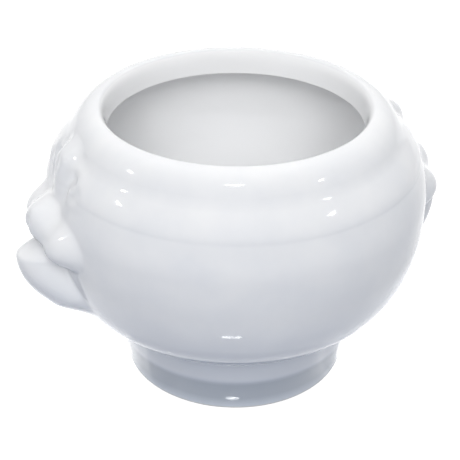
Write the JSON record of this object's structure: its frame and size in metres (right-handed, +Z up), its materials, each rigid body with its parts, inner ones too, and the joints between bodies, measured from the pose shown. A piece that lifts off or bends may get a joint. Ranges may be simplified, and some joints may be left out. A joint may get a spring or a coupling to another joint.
{
  "type": "mini soup tureen",
  "caption": "Small round white porcelain soup bowl with a heavy incurved rim, a flared foot and opposed lion-head lugs, for serving soup without its lid.",
  "frame": {"origin": "on the table, in the middle of the foot ring", "axes": "+Z up the bowl's axis, +X out through one lion head, -X through the other"},
  "size_m": [0.1, 0.084, 0.0634],
  "materials": {
    "white_glaze": "gloss white glaze over porcelain"
  },
  "bodies": {
    "root": {"bowl_body": "white_glaze", "pedestal_foot": "white_glaze", "lion_head_left": "white_glaze", "lion_head_right": "white_glaze"}
  },
  "joints": []
}
